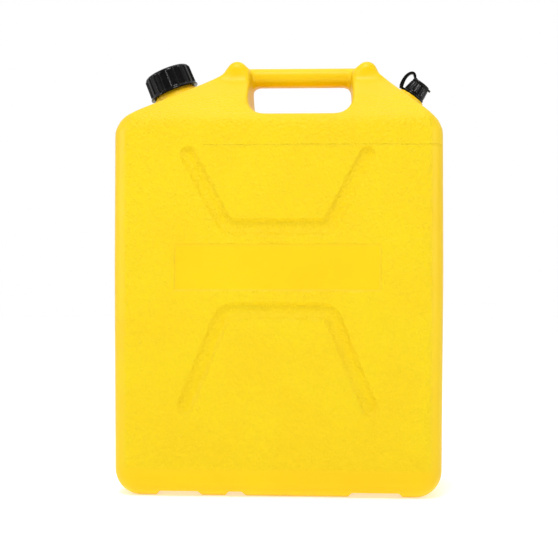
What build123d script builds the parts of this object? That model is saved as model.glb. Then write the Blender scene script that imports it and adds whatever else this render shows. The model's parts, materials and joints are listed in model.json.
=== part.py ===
from build123d import *
import math
import os

# A 20 litre jerry can: a blow-moulded tank with its handle moulded in, a screw filler cap with a
# liner on the left shoulder, and a push-on vent cap with a tether on the right shoulder.
# Millimetres. The origin is the middle of the base, +X towards the vent, -Y towards the front
# face and +Z up.

os.makedirs("parts", exist_ok=True)

# Tank
depth = 165.0
wall = 3.0
side_outline = [
    (-171.0, 0.0),
    (-172.5, 235.0),
    (-172.2, 393.0),
    (-57.6, 450.0),
    (103.9, 450.0),
    (171.2, 389.4),
    (172.0, 235.0),
    (170.5, 0.0),
]
side_outline_radii = [28.0, 0.0, 27.0, 24.0, 24.0, 28.0, 0.0, 28.0]
rim_radius = 18.0
fold_z = 392.0
fold_radius = 15.0
ridge_half = 30.0
ridge_z = 441.0
ridge_radius = 12.0
roof_top_z = 500.0
cut_margin = 1.0

# Hand gap, ears and handle bar
gap_left = -33.4
gap_right = 76.9
sill_z = 399.5
gap_radius = 18.0
ear_half = 30.0
ear_edge_radius = 8.0
left_ear_inner = -32.4
right_ear_inner = 75.9
left_ear = [
    (-75.0, 440.8),
    (-65.0, 445.9),
    (-48.7, 467.3),
    (left_ear_inner, 452.1),
    (left_ear_inner, 420.0),
    (-75.0, 404.0),
]
right_ear = [
    (116.0, 438.6),
    (106.0, 448.1),
    (96.2, 467.4),
    (right_ear_inner, 450.4),
    (right_ear_inner, 420.0),
    (116.0, 404.0),
]
ear_radii = [0.0, 12.0, 11.0, 9.0, 0.0, 0.0]
bar_left = -42.0
bar_right = 86.0
bar_middle_z = 446.6
bar_height = 19.6
bar_depth = 28.0
bar_radius = 8.5
gusset_radius = 8.0
gusset_half = 10.0

# Base: the pads stand on the ground, and the channels between them run front to back
channel_depth = 5.5
channel_slope = 3.5
channels = [(-127.0, -79.0), (-54.5, -33.0), (73.5, 130.0)]

# Face: two stiffening grooves, round in section, and a sunken panel between them
groove_radius = 10.2
groove_standoff = 5.2
groove_bend = 14.0
upper_groove = [(-93.0, 355.5), (-53.3, 280.6), (53.3, 280.6), (93.0, 355.5)]
lower_groove = [(-96.0, 94.0), (-55.0, 193.7), (55.0, 193.7), (96.0, 94.0)]
panel_half_width = 107.0
panel_low_z = 214.5
panel_high_z = 263.0
panel_depth = 1.2
panel_radius = 3.0

# Filler neck and cap, measured along the neck from the bottom of the cap's rim
filler_tilt = 22.5
filler_x = -118.3
filler_z = 431.2
collar_radius = 23.8
collar_foot_radius = 26.5
collar_top = -1.2
collar_flare_top = -5.2
collar_flare_bottom = -13.0
collar_bottom = -15.0
neck_chamfer = 0.6
collar_chamfer = 1.0
neck_radius = 21.0
neck_top = 20.7
neck_bore_radius = 18.0
thread_pitch = 5.5
thread_turns = 1.75
neck_thread_start = 6.0
neck_thread_radius = 22.7
neck_bore_bottom = -22.0
cap_thread_start = 3.25
cap_thread_radius = 21.5
thread_root_width = 3.2
thread_crest_width = 1.2
cap_rim_radius = 27.2
cap_radius = 25.1
cap_inner_radius = 23.3
cap_top_radius = 24.7
cap_rim_chamfer = 0.5
cap_rim_edge = 1.4
cap_rim_height = 3.6
cap_height = 25.6
cap_dome = 0.8
cap_ceiling = 23.0
cap_edge_radius = 3.5
cap_rib_count = 20
cap_rib_width = 1.3
cap_rib_depth = 1.0
liner_radius = 22.6
liner_bottom = 21.0
liner_top = 22.7
liner_edge_radius = 0.4

# Vent neck, tether and cap, measured along the neck from the bottom of the tether's ring
vent_tilt = 36.0
vent_x = 142.1
vent_z = 426.1
boss_radius = 15.0
boss_foot_radius = 17.5
boss_top = -0.4
boss_flare_top = -7.0
boss_flare_bottom = -10.0
boss_bottom = -14.0
nozzle_radius = 8.0
nozzle_bead_radius = 8.5
nozzle_bead_low = 9.0
nozzle_bead_high = 10.5
nozzle_tip_radius = 7.6
nozzle_top = 12.0
nozzle_bore_radius = 4.5
nozzle_bore_bottom = -18.0
ring_radius = 13.0
ring_bore_radius = 8.6
ring_height = 2.6
lug_reach = 17.6
vent_cap_bottom = 3.0
vent_cap_low_radius = 12.2
vent_cap_high_radius = 10.0
vent_cap_shoulder = 14.4
vent_cap_top = 17.5
vent_cap_disc_radius = 10.4
vent_cap_bore_radius = 8.9
vent_cap_ceiling = 13.6
vent_flute_count = 16
vent_flute_radius = 0.9
vent_flute_ring_radius = 11.6
strap_width = 7.0
strap_thickness = 2.4
strap_route = [(-16.3, 2.6), (-19.4, 12.5), (-16.2, 23.4), (-9.3, 18.52)]
strap_radii = [12.0, 3.5]
strap_edge_radius = 0.8
vent_lug = [(-10.0, 14.6), (-3.0, 14.6), (-0.5, 17.6), (-8.24, 19.35), (-9.76, 17.25)]
tab_root = 8.0
tab_reach = 13.6
tab_width = 6.0
tab_thickness = 1.8
tab_radius = 1.5

filler_sin = math.sin(math.radians(filler_tilt))
filler_cos = math.cos(math.radians(filler_tilt))
filler_plane = Plane(
    origin=(filler_x, 0, filler_z),
    x_dir=(filler_cos, 0, filler_sin),
    z_dir=(-filler_sin, 0, filler_cos),
)
filler_section = Plane(origin=(filler_x, 0, filler_z), x_dir=(filler_cos, 0, filler_sin), z_dir=(0, -1, 0))
filler_axis = Axis(origin=(filler_x, 0, filler_z), direction=(-filler_sin, 0, filler_cos))

vent_sin = math.sin(math.radians(vent_tilt))
vent_cos = math.cos(math.radians(vent_tilt))
vent_plane = Plane(
    origin=(vent_x, 0, vent_z),
    x_dir=(vent_cos, 0, -vent_sin),
    z_dir=(vent_sin, 0, vent_cos),
)
vent_section = Plane(origin=(vent_x, 0, vent_z), x_dir=(vent_cos, 0, -vent_sin), z_dir=(0, -1, 0))
vent_axis = Axis(origin=(vent_x, 0, vent_z), direction=(vent_sin, 0, vent_cos))


def tank_form(inset):
    """The tank without its ears, shrunk by inset on every wall."""
    with BuildPart() as form:
        with BuildSketch(Plane.XZ):
            with BuildLine():
                FilletPolyline(*side_outline, radius=side_outline_radii, close=True)
            make_face()
            if inset:
                offset(amount=-inset)
        extrude(amount=depth / 2 - inset, both=True)
        fillet(form.faces().filter_by(Axis.Y).edges(), rim_radius - inset)
        with BuildSketch(Plane.YZ):
            with BuildLine():
                FilletPolyline(
                    (-depth / 2, -10),
                    (-depth / 2, fold_z),
                    (-ridge_half, ridge_z),
                    (-ridge_half, roof_top_z),
                    (ridge_half, roof_top_z),
                    (ridge_half, ridge_z),
                    (depth / 2, fold_z),
                    (depth / 2, -10),
                    radius=[0, fold_radius, ridge_radius, 0, 0, ridge_radius, fold_radius, 0],
                    close=True,
                )
            make_face()
            if inset:
                offset(amount=-inset)
        extrude(amount=200, both=True, mode=Mode.INTERSECT)
        with BuildSketch(Plane.XZ) as gap:
            with BuildLine():
                Polyline(
                    (gap_left, roof_top_z),
                    (gap_left, sill_z),
                    (gap_right, sill_z),
                    (gap_right, roof_top_z),
                    close=True,
                )
            make_face()
            fillet(gap.vertices().group_by(Axis.Z)[0], gap_radius)
            if inset:
                offset(amount=inset)
        extrude(amount=depth, both=True, mode=Mode.SUBTRACT)
    return form.part


def ear_form(outline):
    """One ear, running down into the tank."""
    with BuildPart() as form:
        with BuildSketch(Plane.XZ):
            with BuildLine():
                FilletPolyline(*outline, radius=ear_radii, close=True)
            make_face()
        extrude(amount=ear_half, both=True)
        fillet(form.faces().filter_by(Axis.Y).edges(), ear_edge_radius)
    return form.part


def gusset_form(ear_x, side):
    """The rounded corner under one end of the handle bar, on the side of the ear given by side."""
    bar_low = bar_middle_z - bar_height / 2
    with BuildPart() as form:
        with BuildSketch(Plane.XZ):
            with BuildLine():
                Polyline(
                    (ear_x, bar_low - gusset_radius),
                    (ear_x - side, bar_low - gusset_radius),
                    (ear_x - side, bar_low + 2),
                    (ear_x + side * gusset_radius, bar_low + 2),
                    (ear_x + side * gusset_radius, bar_low),
                )
                ThreePointArc(
                    (ear_x + side * gusset_radius, bar_low),
                    (
                        ear_x + side * gusset_radius * (1 - math.sqrt(0.5)),
                        bar_low - gusset_radius * (1 - math.sqrt(0.5)),
                    ),
                    (ear_x, bar_low - gusset_radius),
                )
            make_face()
        extrude(amount=gusset_half, both=True)
    return form.part


def groove_form(radius):
    """The two grooves on both faces, as round bars with ball ends."""
    with BuildPart() as form:
        for side in (-1, 1):
            face = Plane(
                origin=(0, side * (depth / 2 + groove_standoff), 0),
                x_dir=(1, 0, 0),
                z_dir=(0, -1, 0),
            )
            for points in (upper_groove, lower_groove):
                with BuildLine(face) as route:
                    FilletPolyline(*points, radius=groove_bend)
                with BuildSketch(Plane(origin=route.line @ 0, z_dir=route.line % 0)):
                    Circle(radius)
                sweep(path=route.line)
                with Locations(route.line @ 0, route.line @ 1):
                    Sphere(radius)
    return form.part


def channel_form(growth):
    """The channels across the base, grown by growth for the wall above them."""
    with BuildPart() as form:
        with BuildSketch(Plane.XZ):
            for left, right in channels:
                with BuildLine():
                    Polyline(
                        (left, -growth - 1),
                        (left, 0),
                        (left + channel_slope, channel_depth),
                        (right - channel_slope, channel_depth),
                        (right, 0),
                        (right, -growth - 1),
                        close=True,
                    )
                make_face()
            if growth:
                offset(amount=growth)
        extrude(amount=depth, both=True)
    return form.part


def panel_form(low, high):
    """A slab at the sunken panel of each face, between two depths under that face."""
    with BuildPart() as form:
        for side in (-1, 1):
            face = Plane(origin=(0, side * depth / 2, 0), x_dir=(side, 0, 0), z_dir=(0, -side, 0))
            with BuildSketch(face.offset(low)):
                with Locations((0, (panel_low_z + panel_high_z) / 2)):
                    RectangleRounded(
                        2 * panel_half_width, panel_high_z - panel_low_z, panel_radius
                    )
            extrude(amount=high - low)
    return form.part


def thread_form(plane, start, root_radius, crest_radius):
    """A right-hand thread about a plane's normal, with its crest inside or outside its root."""
    reach = crest_radius - root_radius
    with BuildPart() as form:
        with BuildLine(plane.offset(start)) as route:
            Helix(
                pitch=thread_pitch,
                height=thread_pitch * thread_turns,
                radius=root_radius,
                direction=plane.z_dir,
            )
        outward = route.line @ 0 - plane.offset(start).origin
        with BuildSketch(Plane(origin=route.line @ 0, x_dir=outward, z_dir=route.line % 0)):
            with BuildLine():
                Polyline(
                    (0, -thread_root_width / 2),
                    (0, thread_root_width / 2),
                    (reach, thread_crest_width / 2),
                    (reach, -thread_crest_width / 2),
                    close=True,
                )
            make_face()
        sweep(path=route.line, is_frenet=True)
    return form.part


outer_form = tank_form(0)
cavity_form = tank_form(wall) - groove_form(groove_radius + wall) - channel_form(wall)
cavity_form -= panel_form(0, panel_depth + wall)

# The tank, its ears, its handle bar and its two necks are one moulding
with BuildPart() as can_body:
    add(outer_form)
    add(ear_form(left_ear))
    add(ear_form(right_ear))
    with BuildSketch(Plane.YZ.offset(bar_left)):
        with Locations((0, bar_middle_z)):
            RectangleRounded(bar_depth, bar_height, bar_radius)
    extrude(amount=bar_right - bar_left)
    add(gusset_form(left_ear_inner, 1))
    add(gusset_form(right_ear_inner, -1))
    # Necks, each a collar on the shoulder with the neck standing on it
    with BuildSketch(filler_section):
        with BuildLine():
            Polyline(
                (0, collar_bottom),
                (collar_foot_radius, collar_bottom),
                (collar_foot_radius, collar_flare_bottom),
                (collar_radius, collar_flare_top),
                (collar_radius, collar_top - collar_chamfer),
                (collar_radius - collar_chamfer, collar_top),
                (neck_radius, collar_top),
                (neck_radius, neck_top - neck_chamfer),
                (neck_radius - neck_chamfer, neck_top),
                (0, neck_top),
                close=True,
            )
        make_face()
    revolve(axis=filler_axis)
    with BuildSketch(vent_section):
        with BuildLine():
            Polyline(
                (0, boss_bottom),
                (boss_foot_radius, boss_bottom),
                (boss_foot_radius, boss_flare_bottom),
                (boss_radius, boss_flare_top),
                (boss_radius, boss_top - collar_chamfer),
                (boss_radius - collar_chamfer, boss_top),
                (nozzle_radius, boss_top),
                (nozzle_radius, nozzle_bead_low),
                (nozzle_bead_radius, nozzle_bead_low + 0.5),
                (nozzle_bead_radius, nozzle_bead_high),
                (nozzle_tip_radius, nozzle_top),
                (0, nozzle_top),
                close=True,
            )
        make_face()
    revolve(axis=vent_axis)
    add(groove_form(groove_radius), mode=Mode.SUBTRACT)
    add(panel_form(-cut_margin, panel_depth), mode=Mode.SUBTRACT)
    add(channel_form(0), mode=Mode.SUBTRACT)
    add(cavity_form, mode=Mode.SUBTRACT)
    with BuildSketch(filler_plane.offset(neck_bore_bottom)):
        Circle(neck_bore_radius)
    extrude(amount=neck_top - neck_bore_bottom + 1, mode=Mode.SUBTRACT)
    with BuildSketch(vent_plane.offset(nozzle_bore_bottom)):
        Circle(nozzle_bore_radius)
    extrude(amount=nozzle_top - nozzle_bore_bottom + 1, mode=Mode.SUBTRACT)
    add(thread_form(filler_plane, neck_thread_start, neck_radius - 0.2, neck_thread_radius))

# Filler cap: a ribbed skirt with a flared rim, a domed edge and a thread inside
with BuildPart() as filler_cap:
    with BuildSketch(filler_section):
        with BuildLine():
            Polyline(
                (cap_inner_radius, 0),
                (cap_rim_radius - cap_rim_chamfer, 0),
                (cap_rim_radius, cap_rim_chamfer),
            )
            Line((cap_rim_radius, cap_rim_chamfer), (cap_rim_radius, cap_rim_edge))
            TangentArc(
                (cap_rim_radius, cap_rim_edge), (cap_radius, cap_rim_height), tangent=(-0.5, 1)
            )
            Line((cap_radius, cap_rim_height), (cap_top_radius, cap_height - cap_edge_radius))
            RadiusArc(
                (cap_top_radius, cap_height - cap_edge_radius),
                (cap_top_radius - cap_edge_radius, cap_height),
                -cap_edge_radius,
            )
            Line((cap_top_radius - cap_edge_radius, cap_height), (0, cap_height + cap_dome))
            Polyline(
                (0, cap_height + cap_dome),
                (0, cap_ceiling),
                (cap_inner_radius, cap_ceiling),
                (cap_inner_radius, 0),
            )
        make_face()
    revolve(axis=filler_axis)
    with BuildSketch(filler_plane.offset(cap_rim_height - 0.6)):
        with PolarLocations(cap_radius, cap_rib_count):
            Rectangle(2 * cap_rib_depth, cap_rib_width)
    extrude(amount=cap_height - cap_edge_radius - cap_rim_height + 1.2)
    add(thread_form(filler_plane, cap_thread_start, cap_inner_radius + 0.2, cap_thread_radius))

with BuildPart() as filler_liner:
    with BuildSketch(filler_plane.offset(liner_bottom)):
        Circle(liner_radius)
    extrude(amount=liner_top - liner_bottom)
    fillet(filler_liner.edges(), liner_edge_radius)

# Tether ring: lies on the boss, with a lug for the strap on its uphill side
with BuildPart() as tether_ring:
    with BuildSketch(vent_plane):
        Circle(ring_radius)
        with Locations((-lug_reach / 2, 0)):
            Rectangle(lug_reach, strap_width)
        Circle(ring_bore_radius, mode=Mode.SUBTRACT)
    extrude(amount=ring_height)

# Vent cap: a fluted cap with a lid disc, a lug for the strap and a tab to pull it off by
with BuildPart() as vent_cap:
    with BuildSketch(vent_section):
        with BuildLine():
            Polyline(
                (vent_cap_bore_radius, vent_cap_bottom),
                (vent_cap_low_radius, vent_cap_bottom),
                (vent_cap_low_radius, vent_cap_bottom + 1),
                (vent_cap_high_radius, vent_cap_shoulder),
                (vent_cap_disc_radius, vent_cap_shoulder),
                (vent_cap_disc_radius, vent_cap_top - 1),
                (vent_cap_disc_radius - 1, vent_cap_top),
                (0, vent_cap_top + 0.5),
                (0, vent_cap_ceiling),
                (vent_cap_bore_radius, vent_cap_ceiling),
                close=True,
            )
        make_face()
    revolve(axis=vent_axis)
    with BuildSketch(vent_plane.offset(vent_cap_bottom + 1.5)):
        with PolarLocations(vent_flute_ring_radius, vent_flute_count):
            Circle(vent_flute_radius)
    extrude(amount=vent_cap_shoulder - vent_cap_bottom - 2.5)
    with BuildSketch(vent_plane.offset(vent_cap_shoulder)):
        with Locations(((tab_root + tab_reach) / 2, 0)):
            RectangleRounded(tab_reach - tab_root, tab_width, tab_radius)
    extrude(amount=tab_thickness)
    with BuildSketch(vent_section):
        with BuildLine():
            Polyline(*vent_lug, close=True)
        make_face()
    extrude(amount=strap_width / 2, both=True)

# Tether strap: the soft band looped from the ring's lug to the cap's lug
with BuildPart() as tether_strap:
    with BuildLine(vent_section) as strap_line:
        FilletPolyline(*strap_route, radius=strap_radii)
    with BuildSketch(Plane(origin=strap_line.line @ 0, x_dir=(0, 1, 0), z_dir=strap_line.line % 0)):
        RectangleRounded(strap_width, strap_thickness, strap_edge_radius)
    sweep(path=strap_line.line)

pieces = {
    "can_body": can_body,
    "filler_cap": filler_cap,
    "filler_liner": filler_liner,
    "tether_ring": tether_ring,
    "tether_strap": tether_strap,
    "vent_cap": vent_cap,
}
for name, piece in pieces.items():
    piece.part.label = name
    export_step(piece.part, f"parts/{name}.step")
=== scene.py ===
import json
import math

import bmesh
import bpy
from mathutils import Matrix, Vector


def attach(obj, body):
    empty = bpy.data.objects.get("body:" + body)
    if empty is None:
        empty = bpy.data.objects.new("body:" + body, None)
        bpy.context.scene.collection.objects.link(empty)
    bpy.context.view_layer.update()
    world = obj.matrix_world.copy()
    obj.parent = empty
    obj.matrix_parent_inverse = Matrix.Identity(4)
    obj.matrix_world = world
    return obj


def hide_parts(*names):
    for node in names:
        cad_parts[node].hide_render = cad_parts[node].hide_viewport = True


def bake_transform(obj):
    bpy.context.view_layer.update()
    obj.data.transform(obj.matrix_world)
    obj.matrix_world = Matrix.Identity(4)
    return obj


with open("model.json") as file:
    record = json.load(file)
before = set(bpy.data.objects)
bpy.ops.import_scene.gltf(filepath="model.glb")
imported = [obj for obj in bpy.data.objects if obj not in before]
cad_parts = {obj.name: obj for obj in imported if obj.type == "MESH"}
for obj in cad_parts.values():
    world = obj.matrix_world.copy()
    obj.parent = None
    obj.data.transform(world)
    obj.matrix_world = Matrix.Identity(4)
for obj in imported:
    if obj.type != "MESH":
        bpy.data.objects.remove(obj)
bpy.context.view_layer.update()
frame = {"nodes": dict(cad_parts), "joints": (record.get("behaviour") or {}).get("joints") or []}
scene = bpy.context.scene
print("frame loaded:", len(frame["nodes"]), "CAD nodes")


def mm(value):
    return value / 1000.0


def neckMatrix(jointName):
    # local Z runs out along the neck, local X stays in the plane of the can's face
    joint = next(j for j in frame["joints"] if j["name"] == jointName)
    outward, back = Vector(joint["axis"]), Vector((0, 1, 0))
    matrix = Matrix((back.cross(outward), back, outward)).transposed().to_4x4()
    matrix.translation = joint["pos_m"]
    return matrix


def boxMatrix(centre, size):
    # places a unit cube; both in mm
    return Matrix.Translation([mm(c) for c in centre]) @ Matrix.Diagonal([mm(s) for s in size] + [1])


def turned(bm, profile, steps):
    # spins a closed half section, in mm from the axis and along it, a full turn about local Z
    points = profile + profile[:1]
    verts = [bm.verts.new((mm(radius), 0, mm(along))) for radius, along in points]
    edges = [bm.edges.new(pair) for pair in zip(verts, verts[1:])]
    bmesh.ops.spin(bm, geom=verts + edges, cent=(0, 0, 0), axis=(0, 0, 1), dvec=(0, 0, 0),
                   angle=2 * math.pi, steps=steps, use_merge=True, use_duplicate=False)
    bmesh.ops.remove_doubles(bm, verts=bm.verts, dist=mm(0.02))


thread = {
    "pitch": 5.5,         # mm
    "turns": 1.75,
    "rootWidth": 3.2,
    "crestWidth": 1.2,
    "stepsPerTurn": 48,
}


def addThread(bm, radius, crest, start):
    # one trapezoid carried round a helix; it overlaps the wall it stands on
    root, top = thread["rootWidth"] / 2, thread["crestWidth"] / 2
    section = [(radius, -root), (radius, root), (crest, top), (crest, -top)]
    face = bm.faces.new([bm.verts.new((mm(r), 0, mm(start + along))) for r, along in section])
    steps = int(thread["turns"] * thread["stepsPerTurn"])
    bmesh.ops.spin(bm, geom=[face], cent=(0, 0, 0), axis=(0, 0, 1),
                   dvec=(0, 0, mm(thread["pitch"] * thread["turns"] / steps)),
                   angle=2 * math.pi * thread["turns"], steps=steps, use_merge=False, use_duplicate=False)


def pushOut(vert, distance):
    # moves a vertex away from local Z
    scale = 1 + distance / math.hypot(vert.co.x, vert.co.y)
    vert.co.x *= scale
    vert.co.y *= scale


def bevelled(bm, verts, width, segments):
    edges = list({edge for vert in verts for edge in vert.link_edges})
    bmesh.ops.bevel(bm, geom=edges, offset=mm(width), segments=segments,
                    affect="EDGES", profile=0.5, material=-1)


def finishedPiece(name, bm, matrix=None, smoothAngle=0):
    if matrix is not None:
        bmesh.ops.transform(bm, matrix=matrix, verts=bm.verts)
    bmesh.ops.recalc_face_normals(bm, faces=bm.faces)
    mesh = bpy.data.meshes.new(name)
    bm.to_mesh(mesh)
    bm.free()
    piece = bpy.data.objects.new(name, mesh)
    scene.collection.objects.link(piece)
    if smoothAngle:
        mesh.shade_smooth()
        mesh.set_sharp_from_angle(angle=math.radians(smoothAngle))
    return piece


def bakedModifiers(piece):
    # leaves the modified mesh as the piece's own mesh
    graph = bpy.context.evaluated_depsgraph_get()
    mesh = bpy.data.meshes.new_from_object(piece.evaluated_get(graph))
    piece.modifiers.clear()
    piece.data = mesh


def inFrame(piece, material, body, replaced=None):
    # dresses a piece, hangs it on the body it rides on and hides the CAD node that it replaces
    piece.data.materials.clear()
    piece.data.materials.append(material)
    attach(piece, body)
    if replaced:
        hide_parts(replaced)


def linearColour(hexValue):
    channels = [int(hexValue[i:i + 2], 16) / 255 for i in (1, 3, 5)]
    return [c / 12.92 if c <= 0.04045 else ((c + 0.055) / 1.055) ** 2.4 for c in channels] + [1.0]


def addNode(tree, kind, settings=None, links=None):
    # one node with its plain settings, its socket values and the sockets that feed it
    node = tree.nodes.new(kind)
    for key, value in (settings or {}).items():
        if isinstance(key, str) and hasattr(node, key):
            setattr(node, key, value)
        else:
            node.inputs[key].default_value = value
    for key, source in (links or {}).items():
        tree.links.new(source, node.inputs[key])
    return node


def newMaterial(name):
    material = bpy.data.materials.new(name)
    material.use_nodes = True
    material.node_tree.nodes.clear()
    return material, material.node_tree


def finishMaterial(tree, settings, links):
    shader = addNode(tree, "ShaderNodeBsdfPrincipled", settings, links)
    addNode(tree, "ShaderNodeOutputMaterial", links={"Surface": shader.outputs["BSDF"]})


def maskFrom(tree, ramps):
    # the product of smooth ramps: each socket's value goes from one level to another between two places in mm
    product = None
    for value, start, end, first, last in ramps:
        step = addNode(tree, "ShaderNodeMapRange", {
            "interpolation_type": "SMOOTHSTEP", "From Min": mm(start), "From Max": mm(end),
            "To Min": first, "To Max": last}, {"Value": value}).outputs[0]
        if product is None:
            product = step
        else:
            product = addNode(tree, "ShaderNodeMath", {"operation": "MULTIPLY"}, {0: product, 1: step}).outputs[0]
    return product


tankFinish = {
    "faceSheenColour": "#EDCE00",      # etched faces: a paler copy of the yellow, painted sheen for the light the grain scatters
    "faceSheenDeep": "#EDCA00",
    "smoothShadedColour": "#F0CB00",    # polished mould surface at the edges, roof and ears: a deeper, more orange copy of the yellow, painted shade
    "smoothShadedDeep": "#EFC600",
    "mottle": 70.0,               # mm, width of the dye's mottling
    "grainCell": 3.0,             # mm, width of one pebble
    "grainDepth": 1.05,           # mm, deeper than real so that it shows at this distance
    "grainBend": 3.0,             # mm, how far noise bends the cells, so that they don't read as a grid
    "roofGrain": 0.6,             # share of the grain that the sloping roof has
    "panelGrain": 0.15,           # share that the sunken panel has
    "faceHalfWidth": 159.5,       # mm, the grained area of the front and back faces
    "faceLow": 29.0,
    "faceHigh": 396.0,
    "grainEnd": (428.0, 444.0),   # heights between which the grain fades out on the ears
    "faceDepth": (38.0, 60.0),    # distances from the middle plane between which a face begins
    "panelHalfWidth": 107.0,
    "panelLow": 214.5,
    "panelHigh": 263.0,
    "panelSoft": 0.9,
    "insertLine": 365.5,          # height of the witness line left by the mould's insert
    "insertLeft": -78.0,
    "insertRight": 172.0,
    "roughness": (0.38, 0.48),
    "grainRoughness": 0.08,       # added where the face is etched
}


def makeBlowMouldedHdpe():
    # high-density polyethylene, blow moulded and dyed through: waxy, with a pebble grain where the
    # mould is etched, satin where it is polished, and the mould's witness lines; painted light: the etched
    # faces get a paler yellow for sheen, the polished parts a deeper, more orange one for shade
    f = tankFinish
    material, tree = newMaterial("blowMouldedHdpeYellow")
    place = addNode(tree, "ShaderNodeTexCoord").outputs["Object"]
    axes = addNode(tree, "ShaderNodeSeparateXYZ", links={"Vector": place}).outputs
    x, y, z = axes["X"], axes["Y"], axes["Z"]
    absX, absY = (addNode(tree, "ShaderNodeMath", {"operation": "ABSOLUTE"}, {0: s}).outputs[0] for s in (x, y))
    onFace = (absY, *f["faceDepth"], 0.0, 1.0)

    # where the grain is: the faces, less on the roof and the panel
    faceMask = maskFrom(tree, (
        (absX, f["faceHalfWidth"] - 3, f["faceHalfWidth"] + 3, 1.0, 0.0),
        (z, f["faceLow"] - 3, f["faceLow"] + 3, 0.0, 1.0),
        (z, f["faceHigh"] - 5, f["faceHigh"] + 6, 1.0, f["roofGrain"]),
        (z, *f["grainEnd"], 1.0, 0.0),
        onFace))
    soft = f["panelSoft"]
    panel = maskFrom(tree, (
        (z, f["panelLow"] - soft, f["panelLow"] + soft, 0.0, 1.0),
        (z, f["panelHigh"] - soft, f["panelHigh"] + soft, 1.0, 0.0),
        (absX, f["panelHalfWidth"] - soft, f["panelHalfWidth"] + soft, 1.0, 0.0),
        onFace))
    offPanel = addNode(tree, "ShaderNodeMath", {"operation": "MULTIPLY_ADD", 1: f["panelGrain"] - 1, 2: 1.0},
                       {0: panel}).outputs[0]
    grainMask = addNode(tree, "ShaderNodeMath", {"operation": "MULTIPLY"}, {0: faceMask, 1: offPanel}).outputs[0]

    # pebbles
    bend = addNode(tree, "ShaderNodeTexNoise", {"Scale": 1 / mm(9), "Detail": 2.0}, {"Vector": place})
    bent = addNode(tree, "ShaderNodeVectorMath", {"operation": "MULTIPLY_ADD", 1: [mm(f["grainBend"])] * 3},
                   {0: bend.outputs["Color"], 2: place})
    cells = addNode(tree, "ShaderNodeTexVoronoi", {
        "feature": "SMOOTH_F1", "Scale": 1 / mm(f["grainCell"]), "Smoothness": 0.35, "Randomness": 1.0},
        {"Vector": bent.outputs[0]})
    fine = addNode(tree, "ShaderNodeTexNoise", {"Scale": 1 / mm(1.1), "Detail": 2.0, "Roughness": 0.55},
                   {"Vector": place})
    pebble = addNode(tree, "ShaderNodeMath", {"operation": "MULTIPLY_ADD", 1: -1.0, 2: 1.0},
                     {0: cells.outputs["Distance"]}).outputs[0]
    pebble = addNode(tree, "ShaderNodeMath", {"operation": "MULTIPLY_ADD", 1: 0.35},
                     {0: fine.outputs[0], 2: pebble}).outputs[0]
    height = addNode(tree, "ShaderNodeMath", {"operation": "MULTIPLY"}, {0: pebble, 1: grainMask}).outputs[0]

    # on top of them: faint orange peel from the parison, the insert's line and the parting plane's ridge
    peel = addNode(tree, "ShaderNodeTexNoise", {"Scale": 1 / mm(14), "Detail": 2.0, "Roughness": 0.4},
                   {"Vector": place}).outputs[0]
    insert = maskFrom(tree, (
        (z, f["insertLine"] - 1, f["insertLine"], 0.0, 1.0),
        (z, f["insertLine"], f["insertLine"] + 1, 1.0, 0.0),
        (x, f["insertLeft"] - 3, f["insertLeft"] + 3, 0.0, 1.0),
        (x, f["insertRight"] - 3, f["insertRight"] + 3, 1.0, 0.0),
        onFace))
    parting = maskFrom(tree, ((y, -0.9, 0.0, 0.0, 1.0), (y, 0.0, 0.9, 1.0, 0.0)))
    for layer, weight in ((peel, 0.35), (insert, -0.55), (parting, 0.6)):
        height = addNode(tree, "ShaderNodeMath", {"operation": "MULTIPLY_ADD", 1: weight},
                         {0: layer, 2: height}).outputs[0]
    bump = addNode(tree, "ShaderNodeBump", {"Strength": 1.0, "Distance": mm(f["grainDepth"])}, {"Height": height})

    mottle = addNode(tree, "ShaderNodeTexNoise", {"Scale": 1 / mm(f["mottle"]), "Detail": 3.0, "Roughness": 0.5},
                     {"Vector": place})
    spread = addNode(tree, "ShaderNodeMapRange", {"From Min": 0.35, "From Max": 0.65}, {"Value": mottle.outputs[0]})
    # painted light: the grained faces take the paler copy of the yellow as sheen, the smooth edges, roof and ears
    # the deeper copy as shade; the mottle within each copy is the dye's own
    smoothShadedTint, faceSheenTint = (
        addNode(tree, "ShaderNodeMix", {"data_type": "RGBA", 6: linearColour(f[pale]), 7: linearColour(f[deep])},
                {0: spread.outputs[0]}).outputs[2]
        for pale, deep in (("smoothShadedColour", "smoothShadedDeep"), ("faceSheenColour", "faceSheenDeep")))
    tint = addNode(tree, "ShaderNodeMix", {"data_type": "RGBA"}, {0: grainMask, 6: smoothShadedTint, 7: faceSheenTint})
    # handling wear on the satin skin
    scuff = addNode(tree, "ShaderNodeTexNoise", {"Scale": 1 / mm(22), "Detail": 5.0, "Roughness": 0.65},
                    {"Vector": place})
    satin = addNode(tree, "ShaderNodeMapRange", {
        "From Min": 0.3, "From Max": 0.7, "To Min": f["roughness"][0], "To Max": f["roughness"][1]},
        {"Value": scuff.outputs[0]})
    rough = addNode(tree, "ShaderNodeMath", {"operation": "MULTIPLY_ADD", 1: f["grainRoughness"]},
                    {0: grainMask, 2: satin.outputs[0]})
    finishMaterial(tree, {"IOR": 1.53, "Specular IOR Level": 0.2}, {
        "Base Color": tint.outputs[2], "Roughness": rough.outputs[0], "Normal": bump.outputs["Normal"]})
    return material


capFinish = {"black": "#0B0A0B", "worn": "#171617", "roughness": (0.12, 0.22), "flowWidth": 2.4, "flowDepth": 0.03}
softFinish = {**capFinish, "black": "#0C0B0C", "roughness": (0.18, 0.30)}


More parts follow.
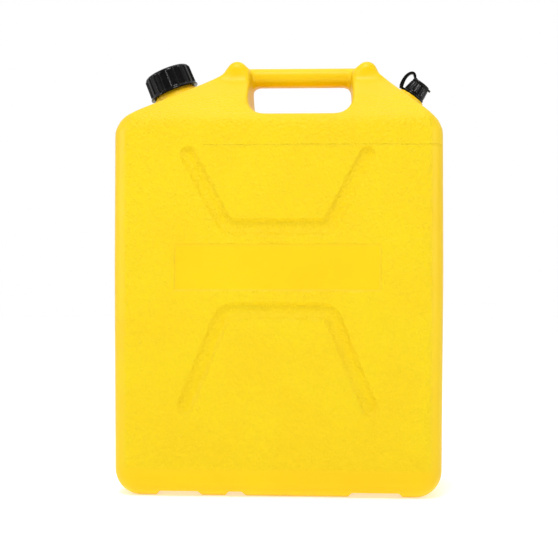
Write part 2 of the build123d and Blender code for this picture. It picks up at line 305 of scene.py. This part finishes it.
def makeMouldedBlack(name, finish):
    # injection-moulded black plastic: deep colour, highlights broken by faint scuffs and flow waviness
    material, tree = newMaterial(name)
    place = addNode(tree, "ShaderNodeTexCoord").outputs["Object"]
    scuff = addNode(tree, "ShaderNodeTexNoise", {"Scale": 1 / mm(5), "Detail": 6.0, "Roughness": 0.7},
                    {"Vector": place})
    flow = addNode(tree, "ShaderNodeTexNoise", {"Scale": 1 / mm(finish["flowWidth"]), "Detail": 1.0},
                   {"Vector": place})
    worn = addNode(tree, "ShaderNodeMapRange", {"From Min": 0.45, "From Max": 0.75}, {"Value": scuff.outputs[0]})
    colour = addNode(tree, "ShaderNodeMix", {
        "data_type": "RGBA", 6: linearColour(finish["black"]), 7: linearColour(finish["worn"])},
        {0: worn.outputs[0]})
    rough = addNode(tree, "ShaderNodeMapRange", {
        "From Min": 0.35, "From Max": 0.7, "To Min": finish["roughness"][0], "To Max": finish["roughness"][1]},
        {"Value": scuff.outputs[0]})
    bump = addNode(tree, "ShaderNodeBump", {"Strength": 1.0, "Distance": mm(finish["flowDepth"])},
                   {"Height": flow.outputs[0]})
    finishMaterial(tree, {"IOR": 1.5, "Specular IOR Level": 0.16}, {
        "Base Color": colour.outputs[2], "Roughness": rough.outputs[0], "Normal": bump.outputs["Normal"]})
    return material


def makeLinerFoam():
    # closed-cell polyethylene foam, die cut: matt, off-white, with pin-prick cells
    material, tree = newMaterial("linerFoamPolyethylene")
    place = addNode(tree, "ShaderNodeTexCoord").outputs["Object"]
    cells = addNode(tree, "ShaderNodeTexVoronoi", {"feature": "F1", "Scale": 1 / mm(0.5)}, {"Vector": place})
    colour = addNode(tree, "ShaderNodeMix", {
        "data_type": "RGBA", 6: linearColour("#D8D6CE"), 7: linearColour("#ECEAE4")},
        {0: cells.outputs["Distance"]})
    bump = addNode(tree, "ShaderNodeBump", {"Strength": 0.6, "Distance": mm(0.06)},
                   {"Height": cells.outputs["Distance"]})
    finishMaterial(tree, {"Roughness": 0.85}, {
        "Base Color": colour.outputs[2], "Normal": bump.outputs["Normal"]})
    return material


hdpeMaterial = makeBlowMouldedHdpe()
capMaterial = makeMouldedBlack("injectionMouldedPolypropyleneBlack", capFinish)
softMaterial = makeMouldedBlack("mouldedSoftPolyethyleneBlack", softFinish)
print("materials made")

fillerMatrix = neckMatrix("filler_cap_turn")
ventMatrix = neckMatrix("tether_swivel")

shell = {
    "voxel": 1.3,             # mm, size of the mesh that the shell is rebuilt on
    "quickVoxel": 2.4,
    "wall": 3.0,              # mm
    "roofPasses": 26,         # smoothing where the roof, shoulders and ears run into each other
    "tipPasses": 5,           # of the ear tips and the handle bar
    "facePasses": 1,
    "footTop": 8.0,           # heights in mm: what is below it isn't smoothed
    "roofFoot": 384.0,
    "roofTop": 452.0,
    "grip": (-30.0, 73.0, 425.0),    # left, right and foot of the handle, which keeps its section
    "triangles": 84000,       # of the outer skin
    # for each neck: a plug (radius, from, to) that closes its bore while the skin is rebuilt, and
    # what is then cut away (radius, down to) so that the neck's own piece can stand there
    "necks": (
        (fillerMatrix, (19.5, -30.0, 21.5), ((24.3, -9.3), (23.0, -20.0))),
        (ventMatrix, (6.5, -24.0, 12.4), ((15.5, -8.0), (14.0, -18.0))),
    ),
}


def keepOuterSkin(bm):
    # the rebuild also leaves the cavity's surface, as a loose island
    loose = set(bm.verts)
    islands = []
    while loose:
        stack, island = [loose.pop()], []
        while stack:
            vert = stack.pop()
            island.append(vert)
            for edge in vert.link_edges:
                other = edge.other_vert(vert)
                if other in loose:
                    loose.remove(other)
                    stack.append(other)
        islands.append(island)
    islands.sort(key=len)
    for island in islands[:-1]:
        bmesh.ops.delete(bm, geom=island, context="VERTS")


def inCuts(point, toNeck, cuts):
    local = toNeck @ point
    radius = math.hypot(local.x, local.y)
    return any(radius < mm(reach) and local.z > mm(low) for reach, low in cuts)


def makeShell():
    s = shell
    bm = bmesh.new()
    bm.from_mesh(frame["nodes"]["can_body"].data)
    bmesh.ops.remove_doubles(bm, verts=bm.verts, dist=mm(0.005))
    for matrix, (radius, low, high), _ in s["necks"]:
        bmesh.ops.create_cone(bm, cap_ends=True, cap_tris=False, segments=48, radius1=mm(radius),
                              radius2=mm(radius), depth=mm(high - low),
                              matrix=matrix @ Matrix.Translation((0, 0, mm((low + high) / 2))))
    piece = finishedPiece("canShell", bm)
    rebuild = piece.modifiers.new("rebuild", "REMESH")
    rebuild.mode = "VOXEL"
    rebuild.voxel_size = mm(s["voxel"])
    bakedModifiers(piece)
    print("shell rebuilt:", len(piece.data.polygons), "faces")

    bm = bmesh.new()
    bm.from_mesh(piece.data)
    keepOuterSkin(bm)
    left, right, gripFoot = (mm(v) for v in s["grip"])
    tips = [v for v in bm.verts if v.co.z > mm(s["roofFoot"])]
    roof = [v for v in tips if v.co.z < mm(s["roofTop"])
            and not (left < v.co.x < right and v.co.z > gripFoot)]
    sides = [v for v in bm.verts if mm(s["footTop"]) < v.co.z <= mm(s["roofFoot"])]
    for verts, passes in ((roof, s["roofPasses"]), (tips, s["tipPasses"]), (sides, s["facePasses"])):
        for _ in range(passes):
            bmesh.ops.smooth_vert(bm, verts=verts, factor=0.5, use_axis_x=True, use_axis_y=True, use_axis_z=True)
    for matrix, _, cuts in s["necks"]:
        toNeck = matrix.inverted()
        covered = [v for v in bm.verts if v.co.z > mm(s["roofFoot"]) and inCuts(v.co, toNeck, cuts)]
        bmesh.ops.delete(bm, geom=covered, context="VERTS")
    bm.to_mesh(piece.data)
    bm.free()

    count = len(piece.data.polygons) * 2
    if count > s["triangles"]:
        thin = piece.modifiers.new("thin", "DECIMATE")
        thin.ratio = s["triangles"] / count
        bakedModifiers(piece)
    hollow = piece.modifiers.new("hollow", "SOLIDIFY")
    hollow.thickness, hollow.offset = mm(s["wall"]), -1.0
    bakedModifiers(piece)
    piece.data.shade_smooth()
    print("shell hollowed:", len(piece.data.polygons), "faces")
    inFrame(piece, hdpeMaterial, "tank", "can_body")


makeShell()

fillerCap = {
    "rim": 27.2, "rimHeight": 3.6, "skirt": 25.1, "top": 24.7, "height": 25.6, "dome": 0.8,
    "inner": 23.3, "ceiling": 23.0, "edge": 3.5,
    "ribs": 20, "ribDepth": 1.1, "ribFoot": 3.4, "ribFade": 2.4, "stepsPerRib": 12,
    "thread": (23.5, 21.5, 3.25),    # root, crest and start
}


def makeFillerCap():
    c = fillerCap
    bm = bmesh.new()
    edgeArc = [(c["top"] - c["edge"] * (1 - math.cos(a)), c["height"] - c["edge"] * (1 - math.sin(a)))
               for a in (math.radians(18 * i) for i in range(6))]
    turned(bm, [
        (c["inner"], 0.4), (c["inner"] + 0.4, 0), (c["rim"] - 0.5, 0), (c["rim"], 0.5), (c["rim"], 1.4),
        (c["rim"] - 0.6, 2.2), (c["skirt"] + 0.5, 2.9), (c["skirt"], c["rimHeight"]),
        (c["skirt"] - 0.03, 4.6), (c["top"] + 0.06, 20.6), *edgeArc,
        (14, c["height"] + 0.55), (0, c["height"] + c["dome"]), (0, c["ceiling"]),
        (c["inner"] - 1.5, c["ceiling"]), (c["inner"], c["ceiling"] - 1.0),
    ], c["ribs"] * c["stepsPerRib"])
    # ribs: three neighbouring columns of the skirt pulled out, run out under the rounded edge
    pitch = 2 * math.pi / c["ribs"]
    ribTop = c["height"] - 1.0
    for vert in bm.verts:
        if math.hypot(vert.co.x, vert.co.y) < mm(c["top"] - 1.2) or not mm(c["ribFoot"]) < vert.co.z < mm(ribTop):
            continue
        turn = (math.atan2(vert.co.y, vert.co.x) / pitch + 0.25) % 1.0
        offset = abs(turn - 0.5) * c["stepsPerRib"]
        if offset <= 1.1:
            fade = min(1.0, (mm(ribTop) - vert.co.z) / mm(c["ribFade"]))
            pushOut(vert, mm(c["ribDepth"]) * fade * (1.0 if offset < 0.6 else 0.55))
    addThread(bm, *c["thread"])
    piece = finishedPiece("fillerCapShell", bm, fillerMatrix, smoothAngle=38)
    inFrame(piece, capMaterial, "filler_cap", "filler_cap")


fillerNeck = {
    # half section from the flare under the collar, up the outside and down the bore
    "profile": [
        (28.2, -15), (28.2, -12.4), (26.4, -9.4), (25.0, -7.0), (24.0, -5.2), (23.8, -4.2),
        (23.8, -2.2), (23.45, -1.5), (22.8, -1.2), (21.4, -1.2), (21.0, -0.8),
        (21.0, 19.9), (20.8, 20.5), (20.2, 20.7), (18.5, 20.7), (18.0, 20.2), (18.0, -15),
    ],
    "thread": (20.8, 22.7, 6.0),
}


def makeFillerNeck():
    bm = bmesh.new()
    turned(bm, fillerNeck["profile"], 128)
    addThread(bm, *fillerNeck["thread"])
    piece = finishedPiece("fillerNeck", bm, fillerMatrix, smoothAngle=38)
    inFrame(piece, hdpeMaterial, "tank")


makeFillerCap()
makeFillerNeck()
liner = frame["nodes"]["filler_liner"]
liner.data.materials.clear()
liner.data.materials.append(makeLinerFoam())
print("filler neck, cap and liner made")

ventNozzle = {
    "profile": [
        (18.8, -14), (18.8, -10.8), (17.1, -8.0), (15.8, -6.0), (15.2, -4.8), (15.0, -3.8),
        (15.0, -1.4), (14.7, -0.7), (14.0, -0.4), (8.3, -0.4), (8.0, 0),
        (8.0, 9.0), (8.5, 9.5), (8.5, 10.5), (7.6, 11.9), (7.3, 12.0), (4.9, 12.0), (4.5, 11.6), (4.5, -14),
    ],
}


def makeVentNozzle():
    bm = bmesh.new()
    turned(bm, ventNozzle["profile"], 96)
    piece = finishedPiece("ventNozzle", bm, ventMatrix, smoothAngle=38)
    inFrame(piece, hdpeMaterial, "tank")


tether = {
    "ring": 13.0, "bore": 8.6, "height": 2.6, "edge": 0.45, "lugRoot": 10.5, "lugReach": 17.6, "width": 7.0,
    # the strap's middle line in the plane of the vent, and how thick it is at each point
    "route": [(-16.3, 2.3), (-17.6, 6.6), (-18.35, 11.0), (-18.15, 15.6), (-16.6, 19.6),
              (-14.3, 21.5), (-12.1, 21.2), (-10.3, 19.5), (-9.0, 18.2)],
    "thick": [4.6, 4.3, 3.9, 3.5, 3.3, 3.3, 3.2, 3.0, 2.6],
    "held": (-17.0, 5.0),     # a point on the route near the ring end
    "carried": (-11.0, 20.5),    # and one near the vent cap end
}


def makeTetherRing():
    t = tether
    e = t["edge"]
    bm = bmesh.new()
    turned(bm, [
        (t["bore"], e), (t["bore"] + e, 0), (t["ring"] - e, 0), (t["ring"], e), (t["ring"], t["height"] - e),
        (t["ring"] - e, t["height"]), (t["bore"] + e, t["height"]), (t["bore"], t["height"] - e),
    ], 96)
    # the lug that the strap grows from
    length = t["lugReach"] - t["lugRoot"]
    lug = bmesh.ops.create_cube(bm, size=1, matrix=boxMatrix(
        (-t["lugRoot"] - length / 2, 0, t["height"] / 2), (length, t["width"], t["height"] - 0.1)))
    bevelled(bm, lug["verts"], 0.6, 3)
    piece = finishedPiece("tetherRing", bm, ventMatrix, smoothAngle=45)
    inFrame(piece, softMaterial, "tether", "tether_ring")


ventCap = {
    # half section from the foot of the skirt, up the outside, over the lid and down the bore
    "profile": [
        (8.9, 3.4), (9.3, 3.0), (11.8, 3.0), (12.2, 3.4), (12.1, 4.4), (11.6, 5.0), (10.35, 13.0), (10.0, 14.0),
        (10.0, 14.4), (10.2, 14.5), (10.4, 14.8), (10.4, 16.4), (10.05, 17.15), (9.3, 17.5), (5, 17.85), (0, 18.0),
        (0, 13.6), (8.1, 13.6), (8.9, 12.8),
    ],
    "flutes": 16, "fluteDepth": 0.55, "fluteInner": 9.8, "fluteSpan": (4.6, 14.2), "stepsPerFlute": 8,
    "tabRoot": 8.0, "tabReach": 13.0, "tabWidth": 6.0, "tabThickness": 1.8, "tabHeight": 15.3,
    # the lug's outline in the plane of the vent
    "lug": [(-9.9, 14.7), (-3.0, 14.7), (-0.6, 17.5), (-4.6, 18.15), (-8.2, 19.2), (-9.7, 17.3)],
    "lugWidth": 6.8,
}


def makeVentCap():
    c = ventCap
    bm = bmesh.new()
    turned(bm, c["profile"], c["flutes"] * c["stepsPerFlute"])
    low, high = (mm(v) for v in c["fluteSpan"])
    for vert in bm.verts:
        if math.hypot(vert.co.x, vert.co.y) >= mm(c["fluteInner"]) and low < vert.co.z < high:
            wave = 0.5 + 0.5 * math.cos(math.atan2(vert.co.y, vert.co.x) * c["flutes"])
            pushOut(vert, mm(c["fluteDepth"]) * wave ** 2)
    # the tab to pull it off by, and the lug that the strap joins
    length = c["tabReach"] - c["tabRoot"]
    tab = bmesh.ops.create_cube(bm, size=1, matrix=boxMatrix(
        (c["tabRoot"] + length / 2, 0, c["tabHeight"]), (length, c["tabWidth"], c["tabThickness"])))
    bevelled(bm, tab["verts"], 0.6, 3)
    near = [bm.verts.new((mm(x), mm(-c["lugWidth"] / 2), mm(along))) for x, along in c["lug"]]
    made = bmesh.ops.extrude_face_region(bm, geom=[bm.faces.new(near)])["geom"]
    far = [part for part in made if isinstance(part, bmesh.types.BMVert)]
    bmesh.ops.translate(bm, vec=(0, mm(c["lugWidth"]), 0), verts=far)
    bevelled(bm, near + far, 0.4, 2)
    piece = finishedPiece("ventCapShell", bm, ventMatrix, smoothAngle=45)
    inFrame(piece, softMaterial, "vent_cap", "vent_cap")


def makeTetherStrap():
    # a flat band: one cross section carried along the route, then rounded
    t = tether
    bm = bmesh.new()
    route = [Vector((mm(x), 0, mm(along))) for x, along in t["route"]]
    across = Vector((0, mm(t["width"] / 2), 0))
    for index, point in enumerate(route):
        ahead = route[min(index + 1, len(route) - 1)] - route[max(index - 1, 0)]
        up = Vector((-ahead.z, 0, ahead.x)).normalized() * mm(t["thick"][index] / 2)
        corners = [point + up - across, point + up + across, point - up + across, point - up - across]
        if index == 0:
            face = bm.faces.new([bm.verts.new(corner) for corner in corners])
        else:
            made = bmesh.ops.extrude_face_region(bm, geom=[face])["geom"]
            if index > 1:    # the first section stays as the strap's end
                bmesh.ops.delete(bm, geom=[face], context="FACES_ONLY")
            face = next(part for part in made if isinstance(part, bmesh.types.BMFace))
            for vert in face.verts:
                nearest = min(range(4), key=lambda i: (vert.co - last[i]).length)
                vert.co = corners[nearest]
        last = corners
    piece = finishedPiece("tetherStrap", bm, ventMatrix)
    rounding = piece.modifiers.new("rounding", "BEVEL")
    rounding.width, rounding.segments, rounding.limit_method = mm(0.7), 3, "ANGLE"
    rounding.angle_limit, rounding.harden_normals = math.radians(50), False
    finer = piece.modifiers.new("finer", "SUBSURF")
    finer.levels = finer.render_levels = 2
    bakedModifiers(piece)
    piece.data.shade_smooth()
    piece.data.set_sharp_from_angle(angle=math.radians(60))
    piece.data.materials.append(softMaterial)
    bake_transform(piece)
    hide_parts("tether_strap")


makeVentNozzle()
makeTetherRing()
makeVentCap()
makeTetherStrap()
print("vent nozzle, cap and tether made")

studio = {
    "floorHalf": 6.0,         # m
    "floorColour": "#F4F4F2",
    "floorGlow": 0.42,        # keeps the far floor as pale as the backdrop
    "backdrop": 1.0,          # brightness of the room behind the object
    "room": 0.28,             # and in front of it
    # name, place, target, size in m, power in W, and whether it only draws highlights
    "softboxes": (
        ("keyBox", (-0.2, -1.45, 2.2), (0, 0, 0.16), (0.7, 0.5), 36, False),
        ("topBox", (0.1, 0.1, 2.0), (0, 0, 0.3), (1.4, 1.0), 5, False),
        ("rightStrip", (1.7, -0.9, 0.7), (0, 0, 0.3), (0.10, 1.2), 14, True),
        ("leftStrip", (-1.8, -0.6, 0.7), (0, 0, 0.3), (0.10, 1.2), 14, True),
    ),
    "lens": 82.3,             # mm
    "cameraPlace": (0.0778, -1.3977, 0.2268),
    "cameraHeading": (-0.0576, 0.9983, 0.0),
    "cameraRoll": 0.14,       # degrees
}


def aimed(item, heading):
    item.rotation_euler = Vector(heading).to_track_quat("-Z", "Y").to_euler()


def makeFloor():
    # matt white painted studio floor
    material, tree = newMaterial("paintedStudioFloor")
    place = addNode(tree, "ShaderNodeTexCoord").outputs["Object"]
    mottle = addNode(tree, "ShaderNodeTexNoise", {"Scale": 3.0, "Detail": 2.0}, {"Vector": place})
    rough = addNode(tree, "ShaderNodeMapRange", {"To Min": 0.7, "To Max": 0.85}, {"Value": mottle.outputs[0]})
    finishMaterial(tree, {
        "Base Color": linearColour(studio["floorColour"]), "Specular IOR Level": 0.1,
        "Emission Color": (1, 1, 1, 1), "Emission Strength": studio["floorGlow"]},
        {"Roughness": rough.outputs[0]})
    bm = bmesh.new()
    bmesh.ops.create_grid(bm, x_segments=1, y_segments=1, size=studio["floorHalf"])
    floor = finishedPiece("studioFloor", bm)
    floor.data.materials.append(material)


def makeRoom():
    # a white backdrop behind the object and a dimmer room in front of it
    world = bpy.data.worlds.new("softWhiteRoom")
    world.use_nodes = True
    tree = world.node_tree
    direction = addNode(tree, "ShaderNodeTexCoord").outputs["Generated"]
    axes = addNode(tree, "ShaderNodeSeparateXYZ", links={"Vector": direction})
    glow = addNode(tree, "ShaderNodeMapRange", {
        "interpolation_type": "SMOOTHSTEP", "From Min": -0.5, "From Max": 0.5,
        "To Min": studio["room"], "To Max": studio["backdrop"]}, {"Value": axes.outputs["Y"]})
    background = tree.nodes["Background"]
    background.inputs["Color"].default_value = (1, 1, 1, 1)
    tree.links.new(glow.outputs[0], background.inputs["Strength"])
    scene.world = world


def makeLightsAndCamera():
    for name, location, target, size, power, glossOnly in studio["softboxes"]:
        data = bpy.data.lights.new(name, "AREA")
        data.shape, data.size, data.size_y, data.energy = "RECTANGLE", size[0], size[1], power
        light = bpy.data.objects.new(name, data)
        light.location = location
        light.visible_diffuse = not glossOnly
        aimed(light, Vector(target) - Vector(location))
        scene.collection.objects.link(light)
    data = bpy.data.cameras.new("studioCamera")
    data.lens, data.sensor_width = studio["lens"], 36.0
    data.clip_start, data.clip_end = 0.05, 50.0
    camera = bpy.data.objects.new("studioCamera", data)
    camera.location = studio["cameraPlace"]
    aimed(camera, studio["cameraHeading"])
    camera.rotation_euler.rotate_axis("Z", math.radians(studio["cameraRoll"]))
    scene.collection.objects.link(camera)
    scene.camera = camera


makeFloor()
makeRoom()
makeLightsAndCamera()
scene.view_settings.view_transform = "Standard"
print("studio made")
